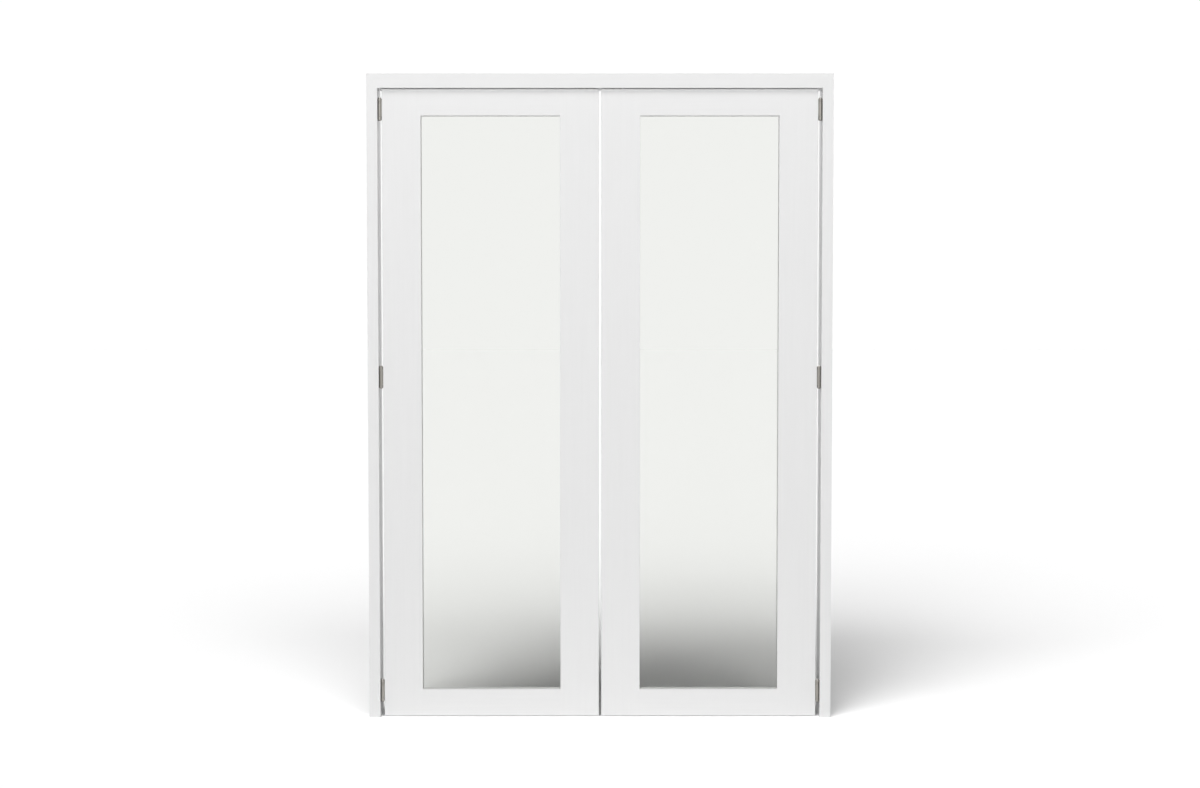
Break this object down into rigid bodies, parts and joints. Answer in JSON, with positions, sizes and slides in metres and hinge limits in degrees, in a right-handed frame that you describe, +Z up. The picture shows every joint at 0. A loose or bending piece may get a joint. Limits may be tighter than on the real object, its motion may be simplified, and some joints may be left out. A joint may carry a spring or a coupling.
{
  "type": "french doors",
  "caption": "Pair of single-lite glazed doors in a plain square-edged frame, hung on butt hinges and held shut by ball catches.",
  "frame": {"origin": "on the floor, at the middle of the frame's width and depth", "axes": "+X along the width to the right seen from the front, -Y towards the side the leaves open to, +Z up"},
  "size_m": [1.5, 0.09, 2.083],
  "materials": {
    "frame_paint": "satin white paint on smooth timber",
    "leaf_paint": "satin white paint on smooth timber",
    "glass": "clear toughened float",
    "glazing_tape": "soft foam",
    "setting_block": "matt",
    "beech": "fluted dowel, unfinished",
    "hinge_steel": "satin nickel plate",
    "screw_steel": "satin nickel plate",
    "spring_wire": "drawn wire",
    "ball_steel": "polished bearing ball",
    "catch_metal": "satin nickel plated brass"
  },
  "bodies": {
    "frame": {"head": "frame_paint", "left_jamb": "frame_paint", "right_jamb": "frame_paint", "frame_screws": "screw_steel", "left_top_jamb_plate": "hinge_steel", "left_middle_jamb_plate": "hinge_steel", "left_bottom_jamb_plate": "hinge_steel", "left_hinge_pins": "hinge_steel", "right_top_jamb_plate": "hinge_steel", "right_middle_jamb_plate": "hinge_steel", "right_bottom_jamb_plate": "hinge_steel", "right_hinge_pins": "hinge_steel", "jamb_plate_screws": "screw_steel", "left_catch_strike": "catch_metal", "right_catch_strike": "catch_metal", "strike_screws": "screw_steel"},
    "left_leaf": {"left_hinge_stile": "leaf_paint", "left_meeting_stile": "leaf_paint", "left_top_rail": "leaf_paint", "left_bottom_rail": "leaf_paint", "left_dowels": "beech", "left_glass": "glass", "left_glazing_tapes": "glazing_tape", "left_setting_blocks": "setting_block", "left_top_bead": "leaf_paint", "left_bottom_bead": "leaf_paint", "left_hinge_side_bead": "leaf_paint", "left_meeting_side_bead": "leaf_paint", "left_bead_pins": "screw_steel", "left_top_leaf_plate": "hinge_steel", "left_middle_leaf_plate": "hinge_steel", "left_bottom_leaf_plate": "hinge_steel", "left_leaf_plate_screws": "screw_steel", "left_catch_housing": "catch_metal", "left_catch_spring": "spring_wire", "left_catch_screws": "screw_steel"},
    "right_leaf": {"right_hinge_stile": "leaf_paint", "right_meeting_stile": "leaf_paint", "right_top_rail": "leaf_paint", "right_bottom_rail": "leaf_paint", "right_dowels": "beech", "right_glass": "glass", "right_glazing_tapes": "glazing_tape", "right_setting_blocks": "setting_block", "right_top_bead": "leaf_paint", "right_bottom_bead": "leaf_paint", "right_hinge_side_bead": "leaf_paint", "right_meeting_side_bead": "leaf_paint", "right_bead_pins": "screw_steel", "right_top_leaf_plate": "hinge_steel", "right_middle_leaf_plate": "hinge_steel", "right_bottom_leaf_plate": "hinge_steel", "right_leaf_plate_screws": "screw_steel", "right_catch_housing": "catch_metal", "right_catch_spring": "spring_wire", "right_catch_screws": "screw_steel"},
    "left_ball": {"left_catch_ball": "ball_steel"},
    "right_ball": {"right_catch_ball": "ball_steel"}
  },
  "joints": [
    {"name": "left_leaf_swing", "type": "hinge", "parent": "frame", "child": "left_leaf", "pos_m": [-0.7085, -0.033, 1.108], "axis": [0, 0, -1], "range_deg": [0, 110]},
    {"name": "right_leaf_swing", "type": "hinge", "parent": "frame", "child": "right_leaf", "pos_m": [0.7085, -0.033, 1.108], "axis": [0, 0, 1], "range_deg": [0, 110]},
    {"name": "left_ball_press", "type": "slide", "parent": "left_leaf", "child": "left_ball", "axis": [0, 0, -1], "range_m": [0, 0.0045], "stiffness_N_per_m": 1500, "springref_m": -0.003, "deforming": ["left_catch_spring"]},
    {"name": "right_ball_press", "type": "slide", "parent": "right_leaf", "child": "right_ball", "axis": [0, 0, -1], "range_m": [0, 0.0045], "stiffness_N_per_m": 1500, "springref_m": -0.003, "deforming": ["right_catch_spring"]}
  ]
}
